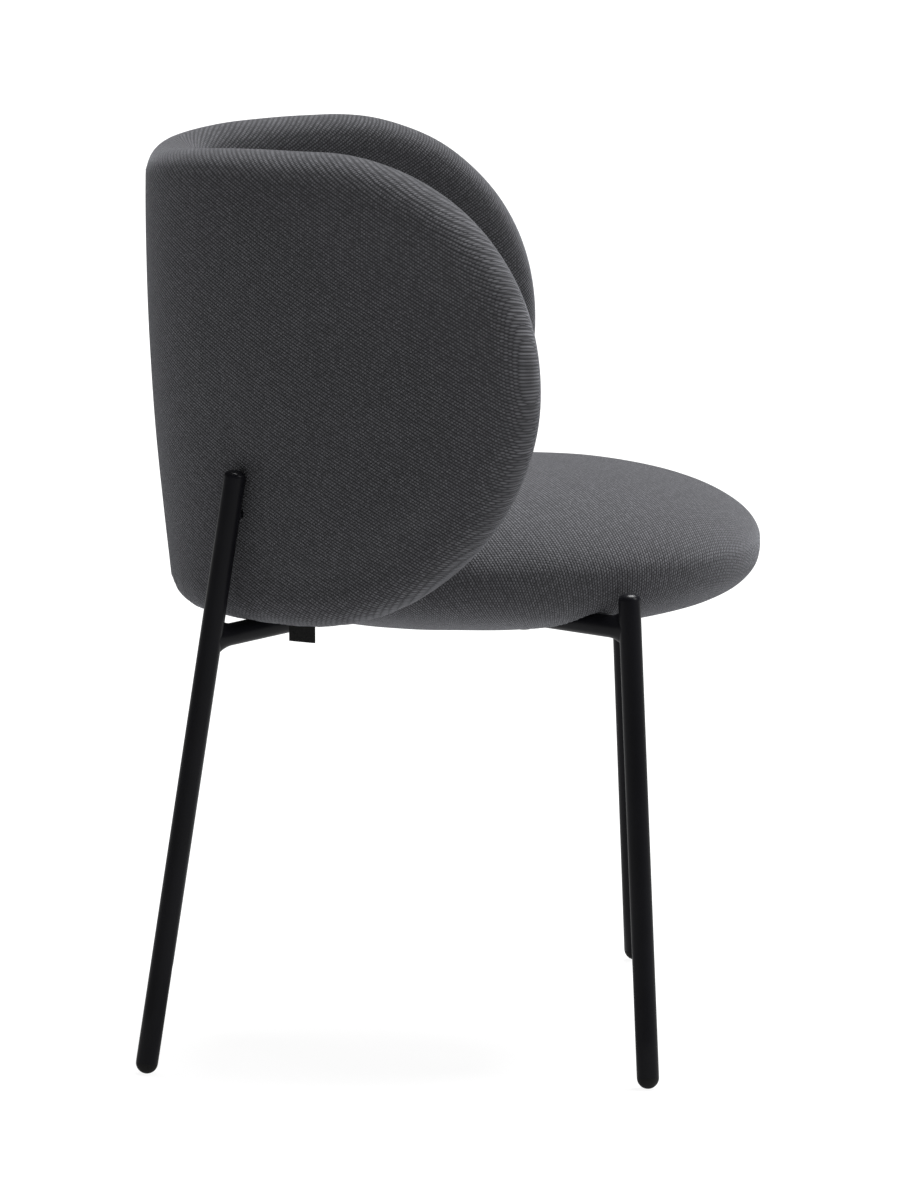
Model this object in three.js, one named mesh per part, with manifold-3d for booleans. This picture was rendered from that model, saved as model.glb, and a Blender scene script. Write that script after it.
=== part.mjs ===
// Dining chair: a welded steel tube frame, a round padded seat and a thick padded back that
// wraps round the sitter in two round wings. Millimetres, +Z up. The chair faces -Y, and the
// origin is on the floor under the middle of its bounding box.

import * as THREE from 'three';
import { mergeVertices } from 'three/addons/utils/BufferGeometryUtils.js';
import Module from 'manifold-3d';

const wasm = await Module();
wasm.setup();

// ---------- Driving dimensions ----------

const GAP = 0.3; // clearance between solids that touch
const RIGHT_LEFT = [['right', -1], ['left', 1]];

// Frame: round tube legs, given by the middles of their tubes' ends on the +X side
const TUBE_R = 9.5;
const TUBE_WALL = 1.5;
const GLIDE_FLAT = 0.5; // how much of each domed foot is cut off flat on the floor
const GLIDE_SPIGOT = 18; // length of a glide inside its tube
const CAP_RISE = 6; // height of the rounded cap on top of a leg
const CAP_ROUNDNESS = 0.75; // 1 makes a cap a dome, 0 makes it flat
const CAP_SPIGOT = 14;
const LEGS = {
  front: { foot: [247, -166, TUBE_R - GLIDE_FLAT], top: [199.5, -149.7, 411] },
  rear: { foot: [192, 260, TUBE_R - GLIDE_FLAT], top: [164.7, 183.3, 510.5] },
};
const BAR_JOINT_Z = { front: 387, rear: 373.5 }; // where the cross bars meet the legs
const WELD_HEIGHT = 4.5; // rise of the weld fillet above and below a bar's end
const WELD_START = 5; // from the leg's axis
const WELD_LENGTH = 16;

// Seat: a round cushion on a plywood board
const SEAT_Y = -38.5;
const SEAT_HALF_WIDTH = 193;
const SEAT_EGG = 0.14; // how much the cushion's plan narrows to the rear and widens to the front
const SEAT_HALF_DEPTH = 230;
const SEAT_CROWN = 75.5; // top of the cushion above its widest plane
const SEAT_BELLY = 58.5; // depth of the whole curve that the lip is cut from
const SEAT_POWER = { top: 1.8, lip: 2.95 }; // roundness of the side profile, 2 is an ellipse
const SEAT_PLAN_POWER = 2.1;
const LIP_ANGLE = THREE.MathUtils.degToRad(65); // where the lip ends on the lower curve
const BOARD_THICK = 12;
const BOARD_DROP = 29.5; // underside of the board below the widest plane
const BOARD_SHARE = 0.68; // size of the board as a share of the cushion's plan
const FOAM_POCKET = 2.2; // room for the tee nuts between the board and the foam
const CLOTH_THICK = 1;
const COVER_THICK = 1.5;
const SEAT_BOLT_REACH = { front: 150, rear: 60 }; // bolt places from the crossing of the bars

// Bolts, their nuts and screws, as radii and lengths
const BOLT_R = 3;
const BOLT_HEAD = { radius: 5.5, height: 4, bevel: 0.5 };
const NUT = { sleeve: 4, sleeveLength: 9, flange: 9, flangeThick: 1.2 };
const SCREW_R = 2;
const SCREW_HEAD = { radius: 4, top: 2.5, height: 2.4 };
const SCREW_LENGTH = { board: 12, panel: 10 };
const SCREW_SPREAD = 14; // from the middle of the bracket to each screw

// Back: a pad bent along a plan curve, with a rounded outline
const BACK_Y = 229.5; // rear middle of the pad's middle surface
const BACK_Z = 584.5; // height of the outline's middle
const BACK_THICK = 47; // thickness at the rounded rim
const BACK_CROWN = 4.5; // extra thickness in the middle, on each face
const BACK_BOW = 3.5; // how far the middle surface bows out between rims
const WING_FLAT = 200; // half length of the straight middle of the outline
const WING_R = 209; // radius of the round wings along the plan curve
const TOP_R = 200.5;
const BOTTOM_R = 203;
const OUTLINE_POWER = { top: 2.06, bottom: 1.94 };
const TOP_DIP = 11; // dip of the top edge at the rear middle
const TOP_DIP_WIDTH = 80;
const WRAP_LENGTH = 94; // distance in which the plan curve turns half of its bend
const FLARE = THREE.MathUtils.degToRad(13.2); // wings open towards the front
const REAR_LEAN = 0.056; // recline of the rear, as a slope
const SIDE_LEAN = -0.12; // the wings lean in towards the top
const PANEL_THICK = 9;
const PANEL_INSET = 38; // edge of the inner panel inside the outline

// Fixings between the seat, the back and the rear legs
const BRACKET_WIDTH = 44;
const BRACKET_THICK = 3;
const BRACKET_RISE = 62;
const BRACKET_OVERLAP = 36; // length of the bracket under the seat board
const PANEL_SCREW_RISE = 55; // panel screws above the pad's lowest point
const BOSS_R = 4.5;
const BOSS_Z = 478;
const BOSS_BOLT_SINK = 8; // room from a leg's wall to the tip of the bolt in its boss
const TAG_Y = 127;
const TAG_SIZE = [25, 0.8, 13];

// ---------- Materials ----------

function material(color, roughness, metalness) {
  return new THREE.MeshStandardMaterial({ color, roughness, metalness });
}

const blackPaint = material(0x0d0d0e, 0.38, 0.0);
const blackPlastic = material(0x101011, 0.3, 0.0);
const zincSteel = material(0x9a9c9e, 0.35, 1.0);
const fabric = material(0x3c3c3e, 0.95, 0.0);
const foam = material(0xd8d2c0, 0.95, 0.0);
const plywood = material(0xb98f5c, 0.7, 0.0);
const blackCloth = material(0x151515, 0.9, 0.0);

// ---------- Geometry helpers ----------

function solidOf(geometry) {
  const bare = geometry.clone();
  bare.deleteAttribute('normal');
  bare.deleteAttribute('uv');
  const merged = mergeVertices(bare, 1e-4);
  const index = Array.from(merged.index.array);
  const kept = [];
  for (let i = 0; i < index.length; i += 3) {
    const [a, b, c] = index.slice(i, i + 3);
    if (a !== b && b !== c && c !== a) kept.push(a, b, c);
  }
  const vertProperties = new Float32Array(merged.attributes.position.array);
  const build = (triVerts) => new wasm.Manifold(
    new wasm.Mesh({ numProp: 3, vertProperties, triVerts: new Uint32Array(triVerts) }));
  const solid = build(kept);
  return solid.volume() > 0 ? solid : build(kept.reverse());
}

function geometryOf(solid) {
  const { vertProperties, triVerts } = solid.getMesh();
  const geometry = new THREE.BufferGeometry();
  geometry.setAttribute('position', new THREE.BufferAttribute(vertProperties, 3));
  geometry.setIndex(new THREE.BufferAttribute(triVerts, 1));
  geometry.computeVertexNormals();
  return geometry;
}

function cut(solid, ...cutters) {
  return cutters.reduce((rest, cutter) => rest.subtract(cutter), solid);
}

function piece(name, shape, look) {
  const geometry = shape.isBufferGeometry ? shape : geometryOf(shape);
  const mesh = new THREE.Mesh(geometry, look);
  mesh.name = name;
  return mesh;
}

// Closed body through rings of points: place(ring, angle) gives a point, and the first and
// last rings close on themselves.
function ringBody(rings, steps, place) {
  const positions = [];
  for (const ring of rings) {
    for (let k = 0; k < steps; k++) positions.push(...place(ring, (2 * Math.PI * k) / steps));
  }
  const index = [];
  for (let r = 0; r < rings.length - 1; r++) {
    for (let k = 0; k < steps; k++) {
      const a = r * steps + k;
      const b = r * steps + ((k + 1) % steps);
      index.push(a, a + steps, b, b, a + steps, b + steps);
    }
  }
  const geometry = new THREE.BufferGeometry();
  geometry.setAttribute('position', new THREE.Float32BufferAttribute(positions, 3));
  geometry.setIndex(index);
  return solidOf(geometry);
}

// Lathe about +Z from [radius, z] points that start and end on the axis
function turned(points, steps = 20) {
  const outline = points.map(([r, z]) => new THREE.Vector2(r, z));
  const lathe = new THREE.LatheGeometry(outline, steps);
  lathe.rotateX(Math.PI / 2);
  return solidOf(lathe);
}

function rod(radius, from, to, steps = 20) {
  return turned([[0, from], [radius, from], [radius, to], [0, to]], steps);
}

function box(size, centre) {
  const geometry = new THREE.BoxGeometry(...size);
  geometry.translate(...centre);
  return solidOf(geometry);
}

// Matrix that puts a body built along +Z at a point, with +Z along a direction
function poseAlong(point, direction) {
  const up = new THREE.Vector3(0, 0, 1);
  const spin = new THREE.Quaternion().setFromUnitVectors(up, direction.clone().normalize());
  return new THREE.Matrix4().compose(point, spin, new THREE.Vector3(1, 1, 1));
}

// Like poseAlong, with the body's Y axis kept as upright as the direction allows
function uprightPose(point, direction) {
  const x = new THREE.Vector3().crossVectors(new THREE.Vector3(0, 0, 1), direction).normalize();
  const y = new THREE.Vector3().crossVectors(direction, x).normalize();
  return new THREE.Matrix4().makeBasis(x, y, direction.clone().normalize()).setPosition(point);
}

function posed(solid, matrix) {
  return solid.transform(matrix.elements);
}

function signedPower(value, power) {
  return Math.sign(value) * Math.abs(value) ** power;
}

// ---------- Legs ----------

function legAxis(end, side) {
  const { foot, top } = LEGS[end];
  const a = new THREE.Vector3(foot[0] * side, foot[1], foot[2]);
  const b = new THREE.Vector3(top[0] * side, top[1], top[2]);
  return { foot: a, top: b, direction: b.clone().sub(a).normalize(), length: a.distanceTo(b) };
}

function pointAtHeight(axis, z) {
  return axis.foot.clone().lerp(axis.top, (z - axis.foot.z) / (axis.top.z - axis.foot.z));
}

// Rounded end on a spigot that plugs a tube: the end's flat side lies at z = 0
function tubePlug(rise, roundness, spigotLength) {
  const dome = [];
  const steps = 5;
  for (let i = 0; i < steps; i++) {
    const angle = (Math.PI / 2) * (i / steps);
    dome.push([TUBE_R * Math.cos(angle) ** roundness, rise * Math.sin(angle) ** roundness]);
  }
  const spigot = TUBE_R - TUBE_WALL - GAP;
  return turned([[0, -spigotLength], [spigot, -spigotLength], [spigot, 0], ...dome, [0, rise]]);
}

function makeLeg(end, side) {
  const axis = legAxis(end, side);
  const pose = poseAlong(axis.foot, axis.direction);
  const wall = rod(TUBE_R, GAP, axis.length - GAP, 24);
  const bore = rod(TUBE_R - TUBE_WALL, -1, axis.length + 1, 24);
  return posed(cut(wall, bore), pose);
}

function makeTopCap(end, side) {
  const axis = legAxis(end, side);
  return posed(tubePlug(CAP_RISE, CAP_ROUNDNESS, CAP_SPIGOT), poseAlong(axis.top, axis.direction));
}

function makeGlide(end, side) {
  const axis = legAxis(end, side);
  const down = axis.direction.clone().negate();
  const depth = 20;
  const floor = box([4 * TUBE_R, 4 * TUBE_R, depth], [axis.foot.x, axis.foot.y, -depth / 2]);
  return cut(posed(tubePlug(TUBE_R, 1, GLIDE_SPIGOT), poseAlong(axis.foot, down)), floor);
}

// ---------- Cross bars ----------

function barEnds(side) {
  const front = pointAtHeight(legAxis('front', side), BAR_JOINT_Z.front);
  const rear = pointAtHeight(legAxis('rear', -side), BAR_JOINT_Z.rear);
  return { front, rear };
}

const barA = barEnds(1);
const crossing = barA.front.clone().lerp(
  barA.rear, barA.front.x / (barA.front.x - barA.rear.x));
const SEAT_TILT = Math.atan2(
  BAR_JOINT_Z.front - BAR_JOINT_Z.rear, barA.rear.y - barA.front.y);

function barDirection(side) {
  const { front, rear } = barEnds(side);
  return rear.clone().sub(front).normalize();
}

// Places of the seat bolts on the bars: side is the side of the front or rear leg they face
function boltPoint(end, side) {
  const barSide = end === 'front' ? side : -side;
  const reach = end === 'front' ? -SEAT_BOLT_REACH.front : SEAT_BOLT_REACH.rear;
  return crossing.clone().addScaledVector(barDirection(barSide), reach);
}

const seatNormal = new THREE.Vector3(0, Math.sin(SEAT_TILT), Math.cos(SEAT_TILT));

function boltHole(end, side, radius) {
  return posed(rod(radius, -20, 20, 12), poseAlong(boltPoint(end, side), seatNormal));
}

// Fillet of weld metal above and below the end of a bar, along +Z from the leg's axis
function weldFillet() {
  const tall = TUBE_R + WELD_HEIGHT;
  const cone = new THREE.CylinderGeometry(TUBE_R - 0.5, tall, WELD_LENGTH, 20);
  cone.rotateX(Math.PI / 2);
  cone.translate(0, 0, WELD_START + WELD_LENGTH / 2);
  cone.scale((TUBE_R - 0.2) / tall, 1, 1);
  return solidOf(cone);
}

// A stretch of cross bar, from a leg to a leg or to the crossing, coped round what it meets
function makeBar(from, to, endNames, cutters) {
  const direction = to.clone().sub(from).normalize();
  const length = from.distanceTo(to);
  let bar = rod(TUBE_R, 0, length, 24);
  const pose = poseAlong(from, direction);
  bar = posed(bar, pose);
  if (endNames.includes('from')) bar = bar.add(posed(weldFillet(), uprightPose(from, direction)));
  if (endNames.includes('to')) {
    bar = bar.add(posed(weldFillet(), uprightPose(to, direction.clone().negate())));
  }
  const bore = posed(rod(TUBE_R - TUBE_WALL, -5, length + 5, 24), pose);
  return cut(bar, bore, ...cutters);
}

function legCope(end, side) {
  const axis = legAxis(end, side);
  const clear = rod(TUBE_R + GAP, 0, axis.length, 24);
  return posed(clear, poseAlong(axis.foot, axis.direction));
}

function makeCrossBars() {
  const holes = [];
  for (const end of ['front', 'rear']) {
    for (const [, side] of RIGHT_LEFT) holes.push(boltHole(end, side, BOLT_R + GAP));
  }
  const a = barEnds(1);
  const b = barEnds(-1);
  const across = posed(
    rod(TUBE_R + GAP, 0, a.front.distanceTo(a.rear), 24), poseAlong(a.front, barDirection(1)));
  return [
    piece('cross_bar_long', makeBar(a.front, a.rear, ['from', 'to'],
      [legCope('front', 1), legCope('rear', -1), ...holes]), blackPaint),
    piece('cross_bar_front_half', makeBar(b.front, crossing, ['from'],
      [legCope('front', -1), across, ...holes]), blackPaint),
    piece('cross_bar_rear_half', makeBar(b.rear, crossing, ['from'],
      [legCope('rear', 1), across, ...holes]), blackPaint),
  ];
}

// ---------- Seat ----------

// The seat is built level about its widest plane, then tilted and lifted onto the bars
const barHeightAtSeat = crossing.z + (crossing.y - SEAT_Y) * Math.tan(SEAT_TILT);
const BOARD_BOTTOM = -BOARD_DROP;
const BOARD_TOP = BOARD_BOTTOM + BOARD_THICK;
const BAR_DROP = TUBE_R + 2 * GAP + CLOTH_THICK; // from the board's underside to a bar's axis
const SEAT_Z = barHeightAtSeat + BAR_DROP / Math.cos(SEAT_TILT) + BOARD_DROP;
const seatPose = new THREE.Matrix4()
  .makeRotationX(-SEAT_TILT)
  .setPosition(0, SEAT_Y, SEAT_Z);
const seatFromWorld = seatPose.clone().invert();

function seatBody(rings, steps) {
  return ringBody(rings, steps, ([share, z, inset = 0], angle) => {
    const across = signedPower(Math.cos(angle), 2 / SEAT_PLAN_POWER);
    const back = signedPower(Math.sin(angle), 2 / SEAT_PLAN_POWER);
    const halfWidth = (SEAT_HALF_WIDTH - inset) * (1 - SEAT_EGG * back);
    return [share * halfWidth * across, share * (SEAT_HALF_DEPTH - inset) * back, z];
  });
}

// Rings of the cushion's surface from its top middle round to its lip under the board's edge
function cushionRings(inset) {
  const rings = [[0, SEAT_CROWN - inset, inset]];
  const curve = (angle, height, power) => [
    Math.cos(angle) ** (2 / power), height * Math.sin(angle) ** (2 / power), inset];
  const upper = 6;
  for (let i = 1; i <= upper; i++) {
    rings.push(curve((Math.PI / 2) * (1 - i / upper), SEAT_CROWN - inset, SEAT_POWER.top));
  }
  const lower = 4;
  for (let i = 1; i <= lower; i++) {
    rings.push(curve(LIP_ANGLE * (i / lower), inset - SEAT_BELLY, SEAT_POWER.lip));
  }
  return rings;
}

function makeSeatBoard() {
  const disc = seatBody([[0, BOARD_BOTTOM], [BOARD_SHARE, BOARD_BOTTOM],
    [BOARD_SHARE, BOARD_TOP], [0, BOARD_TOP]], 36);
  return cut(disc, ...seatBoltCuts(NUT.sleeve + GAP), ...bracketScrewCuts());
}

function seatBoltCuts(radius) {
  const cuts = [];
  for (const end of ['front', 'rear']) {
    for (const [, side] of RIGHT_LEFT) {
      const { x, y } = boltPoint(end, side).applyMatrix4(seatFromWorld);
      cuts.push(rod(radius, BOARD_BOTTOM - 10, BOARD_TOP + 5, 16).translate([x, y, 0]));
    }
  }
  return cuts;
}

// Channels that the cross bars and the rear bracket press into the cushion's lip
function lipCuts() {
  const cuts = [];
  const radius = TUBE_R + 2 * GAP;
  const beyond = 40; // past each end of a bar
  const depth = 40; // below a bar's axis
  for (const [, side] of RIGHT_LEFT) {
    const { front, rear } = barEnds(side);
    const length = front.distanceTo(rear);
    const open = box([2 * radius, depth, length + 2 * beyond], [0, -depth / 2, length / 2]);
    const groove = rod(radius, -beyond, length + beyond, 24).add(open);
    cuts.push(posed(groove, seatFromWorld.clone().multiply(uprightPose(front, barDirection(side)))));
  }
  const channel = [BRACKET_WIDTH + 2, SEAT_HALF_DEPTH, 4 * BRACKET_THICK];
  cuts.push(box(channel, [0, SEAT_HALF_DEPTH, BOARD_BOTTOM - BRACKET_THICK]));
  return cuts;
}

function makeSeatFoam() {
  const inset = COVER_THICK + GAP;
  const pocket = [
    [BOARD_SHARE + 0.035, BOARD_BOTTOM - 3],
    [BOARD_SHARE + 0.01, BOARD_BOTTOM],
    [BOARD_SHARE + 0.01, BOARD_TOP + FOAM_POCKET],
    [0, BOARD_TOP + FOAM_POCKET],
  ];
  return cut(seatBody([...cushionRings(inset), ...pocket], 36), ...lipCuts());
}

function makeSeatCover() {
  const outer = cushionRings(0);
  const inner = cushionRings(COVER_THICK).reverse();
  return cut(seatBody([...outer, ...inner], 36), ...lipCuts());
}

function makeDustCloth() {
  const top = BOARD_BOTTOM - GAP;
  const disc = seatBody([[0, top - CLOTH_THICK], [BOARD_SHARE - 0.01, top - CLOTH_THICK],
    [BOARD_SHARE - 0.01, top], [0, top]], 36);
  const length = 3 * BRACKET_OVERLAP;
  const bracketWindow = box([BRACKET_WIDTH + 1, length, BRACKET_OVERLAP / 4],
    [0, bracketFront() - 1 + length / 2, top]);
  return cut(disc, ...seatBoltCuts(BOLT_R + GAP), bracketWindow);
}

// Round-headed bolt along +Z, with its head under the height given
function boltBody(under, tip) {
  const { radius, height, bevel } = BOLT_HEAD;
  return turned([[0, under - height], [radius - bevel, under - height],
    [radius, under - height + bevel], [radius, under], [BOLT_R, under], [BOLT_R, tip], [0, tip]], 12);
}

function makeSeatBolt() {
  const barLow = BOARD_BOTTOM - BAR_DROP - TUBE_R - GAP / 3;
  return boltBody(barLow, BOARD_TOP);
}

function makeTeeNut() {
  const flange = BOARD_TOP + GAP;
  const low = BOARD_TOP - NUT.sleeveLength;
  const high = flange + NUT.flangeThick;
  const ring = turned([[0, low], [NUT.sleeve, low], [NUT.sleeve, flange],
    [NUT.flange, flange], [NUT.flange, high], [0, high]], 12);
  return cut(ring, rod(BOLT_R + GAP, low - 1, high + 1, 12));
}

function makeSeat() {
  const seat = new THREE.Group();
  seat.applyMatrix4(seatPose);
  seat.add(
    piece('seat_board', makeSeatBoard(), plywood),
    piece('seat_foam', makeSeatFoam(), foam),
    piece('seat_cover', makeSeatCover(), fabric),
    piece('seat_dust_cloth', makeDustCloth(), blackCloth),
  );
  for (const end of ['front', 'rear']) {
    for (const [word, side] of RIGHT_LEFT) {
      const { x, y } = boltPoint(end, side).applyMatrix4(seatFromWorld);
      const bolt = piece(`seat_bolt_${end}_${word}`, makeSeatBolt(), zincSteel);
      const nut = piece(`seat_tee_nut_${end}_${word}`, makeTeeNut(), zincSteel);
      bolt.position.set(x, y, 0);
      nut.position.set(x, y, 0);
      seat.add(bolt, nut);
    }
  }
  return seat;
}

// ---------- Back ----------

// Direction of the plan curve at a distance from the rear middle: pi/2 points sideways, 0
// points to the front
function planHeading(distance) {
  return FLARE + (Math.PI / 2 - FLARE) / (1 + (distance / WRAP_LENGTH) ** 2);
}

const PLAN_STEP = 2;
const planTable = [[0, BACK_Y]];
for (let i = 1; i * PLAN_STEP <= WING_FLAT + WING_R + 20; i++) {
  const heading = planHeading((i - 0.5) * PLAN_STEP);
  const [x, y] = planTable[i - 1];
  planTable.push([x + PLAN_STEP * Math.sin(heading), y - PLAN_STEP * Math.cos(heading)]);
}

function planPoint(distance) {
  const i = Math.floor(distance / PLAN_STEP);
  const part = distance / PLAN_STEP - i;
  const [x0, y0] = planTable[i];
  const [x1, y1] = planTable[i + 1];
  return [x0 + (x1 - x0) * part, y0 + (y1 - y0) * part];
}

// Point of the back: along is the distance along the plan curve from the rear middle, up is
// the height over the outline's middle, and out is the offset from the middle surface
function backPoint(along, up, out) {
  const side = along < 0 ? -1 : 1;
  const heading = planHeading(Math.abs(along));
  const [x, y] = planPoint(Math.abs(along));
  const [nx, ny] = [Math.cos(heading), Math.sin(heading)];
  const lean = REAR_LEAN * ny ** 2 + SIDE_LEAN * nx ** 2;
  const offset = out + lean * up + BACK_BOW * (1 - (up / TOP_R) ** 2);
  return [side * (x + nx * offset), y + ny * offset, BACK_Z + up];
}

// Place on the back's outline, two half rounds joined by two straights: the distance of the
// straight part along the back, and the angle of the round part
function outlinePlace(turn) {
  const quarter = ((2 * turn) / Math.PI + 0.5) % 4;
  const part = quarter % 1;
  if (quarter < 1) return [WING_FLAT, Math.PI * (part - 0.5)];
  if (quarter < 2) return [WING_FLAT * (1 - 2 * part), Math.PI / 2];
  if (quarter < 3) return [-WING_FLAT, Math.PI * (part + 0.5)];
  return [WING_FLAT * (2 * part - 1), -Math.PI / 2];
}

// Shares of the outline and offsets of a pad's section, from the middle of its outer face
// round the rim to the middle of its inner face
function padSection(reach, half, crown, faceRings, rimRings) {
  const flat = reach - half;
  const outer = [];
  for (let i = 0; i <= faceRings; i++) {
    const share = (flat / reach) * (i / faceRings);
    outer.push([share, half + crown * (1 - share ** 2)]);
  }
  const rim = [];
  for (let i = 1; i < rimRings; i++) {
    const angle = Math.PI / 2 - Math.PI * (i / rimRings);
    rim.push([(flat + half * Math.cos(angle)) / reach, half * Math.sin(angle)]);
  }
  const inner = outer.map(([share, out]) => [share, -out]).reverse();
  return [...outer, ...rim, ...inner];
}

// Closed body inside the back's outline
function backBody({ inset, half, crown, faceRings, rimRings, steps }) {
  const section = padSection(TOP_R - inset, half, crown, faceRings, rimRings);
  return ringBody(section, steps, ([share, out], turn) => {
    const [middle, angle] = outlinePlace(turn);
    const power = 2 / (Math.sin(angle) >= 0 ? OUTLINE_POWER.top : OUTLINE_POWER.bottom);
    const sideways = signedPower(Math.cos(angle), power);
    const upwards = signedPower(Math.sin(angle), power);
    const along = middle + share * (WING_R - inset) * sideways;
    const radius = (upwards >= 0 ? TOP_R : BOTTOM_R) - inset;
    const rise = share * radius * upwards;
    const middling = Math.exp(-((along / TOP_DIP_WIDTH) ** 2));
    return backPoint(along, rise - TOP_DIP * middling * Math.max(rise / TOP_R, 0) ** 2, out);
  });
}

const PAD_HALF = BACK_THICK / 2;

function backPad(inset) {
  return backBody({
    inset, half: PAD_HALF - inset, crown: BACK_CROWN, faceRings: 2, rimRings: 5, steps: 56,
  });
}

function backPanel(extra) {
  return backBody({
    inset: PANEL_INSET - extra, half: PANEL_THICK / 2 + extra, crown: 0,
    faceRings: 2, rimRings: 2, steps: 40,
  });
}

// Opening in the bottom of the pad and its cover, through which the bracket reaches the panel
function backSlit() {
  const [, rearFace] = backPoint(0, -BOTTOM_R, PANEL_THICK / 2 + 1);
  const low = BACK_Z - BOTTOM_R;
  const width = BRACKET_WIDTH + 4;
  const slotDepth = 26;
  const slotTop = low + BRACKET_RISE + 12;
  const slot = box([width, slotDepth, slotTop - low + 10],
    [0, rearFace - slotDepth / 2, (slotTop + low - 10) / 2]);
  const channelDepth = 60; // reaches the open air in front of the pad
  const channelRise = 15;
  const channel = box([width, channelDepth, 2 * channelRise], [0, rearFace - channelDepth / 2, low]);
  return slot.add(channel);
}

// ---------- Bracket between the seat board and the back panel ----------

function panelFaceY(z) {
  return backPoint(BRACKET_WIDTH / 2, z - BACK_Z, -PANEL_THICK / 2 - GAP)[1] - 1;
}

function bracketFront() {
  return BOARD_SHARE * SEAT_HALF_DEPTH - BRACKET_OVERLAP;
}

const BRACKET_TOP = BOARD_BOTTOM - GAP;

// Flat strip under the board, bent up against the front face of the panel
function makeBracket() {
  const start = new THREE.Vector3(0, bracketFront(), BRACKET_TOP).applyMatrix4(seatPose);
  const rearZ = start.z - (panelFaceY(start.z) - start.y) * Math.tan(SEAT_TILT);
  const foot = [panelFaceY(rearZ), rearZ];
  const head = [panelFaceY(rearZ + BRACKET_RISE), rearZ + BRACKET_RISE];
  const outline = new THREE.Shape([
    new THREE.Vector2(start.y, start.z),
    new THREE.Vector2(foot[0] - BRACKET_THICK, foot[1]),
    new THREE.Vector2(head[0] - BRACKET_THICK, head[1]),
    new THREE.Vector2(...head),
    new THREE.Vector2(foot[0], foot[1] - BRACKET_THICK),
    new THREE.Vector2(start.y, start.z - BRACKET_THICK),
  ]);
  const strip = new THREE.ExtrudeGeometry(outline, { depth: BRACKET_WIDTH, bevelEnabled: false });
  strip.translate(0, 0, -BRACKET_WIDTH / 2);
  strip.applyMatrix4(new THREE.Matrix4().makeBasis(
    new THREE.Vector3(0, 1, 0), new THREE.Vector3(0, 0, 1), new THREE.Vector3(1, 0, 0)));
  const holes = bracketScrewPoses().map((pose) => posed(rod(SCREW_R + GAP, -12, 12, 12), pose));
  return cut(solidOf(strip), ...holes);
}

// Poses of the bracket's screws: two up into the board and two back into the panel. Each
// screw's origin is under its head, on the bracket's open face.
function bracketScrewPoses() {
  const boardY = bracketFront() + BRACKET_OVERLAP / 2;
  const panelZ = BACK_Z - BOTTOM_R + PANEL_SCREW_RISE;
  const intoBoard = RIGHT_LEFT.map(([, side]) => poseAlong(
    new THREE.Vector3(side * SCREW_SPREAD, boardY, BRACKET_TOP - BRACKET_THICK)
      .applyMatrix4(seatPose), seatNormal));
  const intoPanel = RIGHT_LEFT.map(([, side]) => poseAlong(
    new THREE.Vector3(side * SCREW_SPREAD, panelFaceY(panelZ) - BRACKET_THICK, panelZ),
    new THREE.Vector3(0, 1, -REAR_LEAN)));
  return [...intoBoard, ...intoPanel];
}

function bracketScrewCuts() {
  const pilot = rod(SCREW_R + GAP, -BRACKET_THICK - 2, SCREW_LENGTH.board + 2, 12);
  return bracketScrewPoses().slice(0, 2).map(
    (pose) => posed(pilot, seatFromWorld.clone().multiply(pose)));
}

function makeBracketScrew(length) {
  const { radius, top, height } = SCREW_HEAD;
  return turned([[0, -height - GAP], [top, -height - GAP], [radius, -height / 2 - GAP],
    [radius, -GAP], [SCREW_R, -GAP], [SCREW_R, length - 2], [0, length]], 10);
}

function makeBracketScrews() {
  const names = ['board_screw_right', 'board_screw_left', 'panel_screw_right', 'panel_screw_left'];
  return bracketScrewPoses().map((pose, i) => {
    const length = i < 2 ? SCREW_LENGTH.board : SCREW_LENGTH.panel;
    return piece(names[i], posed(makeBracketScrew(length), pose), zincSteel);
  });
}

// ---------- Fixing of the back to the rear legs ----------

// Pose on the pad's middle surface with +Z pointing out to the rear leg's axis
function bossPose(side) {
  const leg = pointAtHeight(legAxis('rear', side), BOSS_Z);
  let best = null;
  for (let along = 20; along < WING_FLAT; along += 0.5) {
    const point = new THREE.Vector3(...backPoint(side * along, BOSS_Z - BACK_Z, 0));
    const distance = point.distanceTo(leg);
    if (!best || distance < best.distance) best = { point, distance };
  }
  return {
    pose: poseAlong(best.point, leg.clone().sub(best.point)),
    distance: best.distance,
  };
}

function makeBoss(side) {
  const { pose, distance } = bossPose(side);
  const start = PANEL_THICK / 2 + 2 * GAP;
  const bore = rod(BOLT_R + GAP, 0, distance - TUBE_R - BOSS_BOLT_SINK + 2, 12);
  const boss = cut(rod(BOSS_R, start, distance, 16), bore);
  return cut(posed(boss, pose), legCope('rear', side));
}

function makeBackBolt(side) {
  const { pose, distance } = bossPose(side);
  const underHead = -PANEL_THICK / 2 - 3.5; // clear of the curved panel
  return posed(boltBody(underHead, distance - TUBE_R - BOSS_BOLT_SINK), pose);
}

// Dents that the cross bars press into the bottom of the pad next to the rear legs
function barDents() {
  return RIGHT_LEFT.map(([, side]) => {
    const { front, rear } = barEnds(side);
    return posed(rod(TUBE_R + 2 * GAP, 0, front.distanceTo(rear), 24),
      poseAlong(front, barDirection(side)));
  });
}

function bossCuts(radius, from, to) {
  return RIGHT_LEFT.map(([, side]) => posed(rod(radius, from, to, 16), bossPose(side).pose));
}

function makeBackPanel() {
  const pilots = bracketScrewPoses().slice(2).map((pose) => posed(
    rod(SCREW_R + GAP, -1, 30, 12), pose));
  return cut(backPanel(0), ...bossCuts(BOLT_R + GAP, -20, 20), ...pilots);
}

function makeBackFoam() {
  return cut(backPad(COVER_THICK + GAP), backPanel(2 * GAP), backSlit(), ...barDents(),
    ...bossCuts(BOSS_R + GAP, 0, BACK_THICK),
    ...bossCuts(BOLT_HEAD.radius + GAP, -PANEL_THICK / 2 - 8, 0));
}

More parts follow.
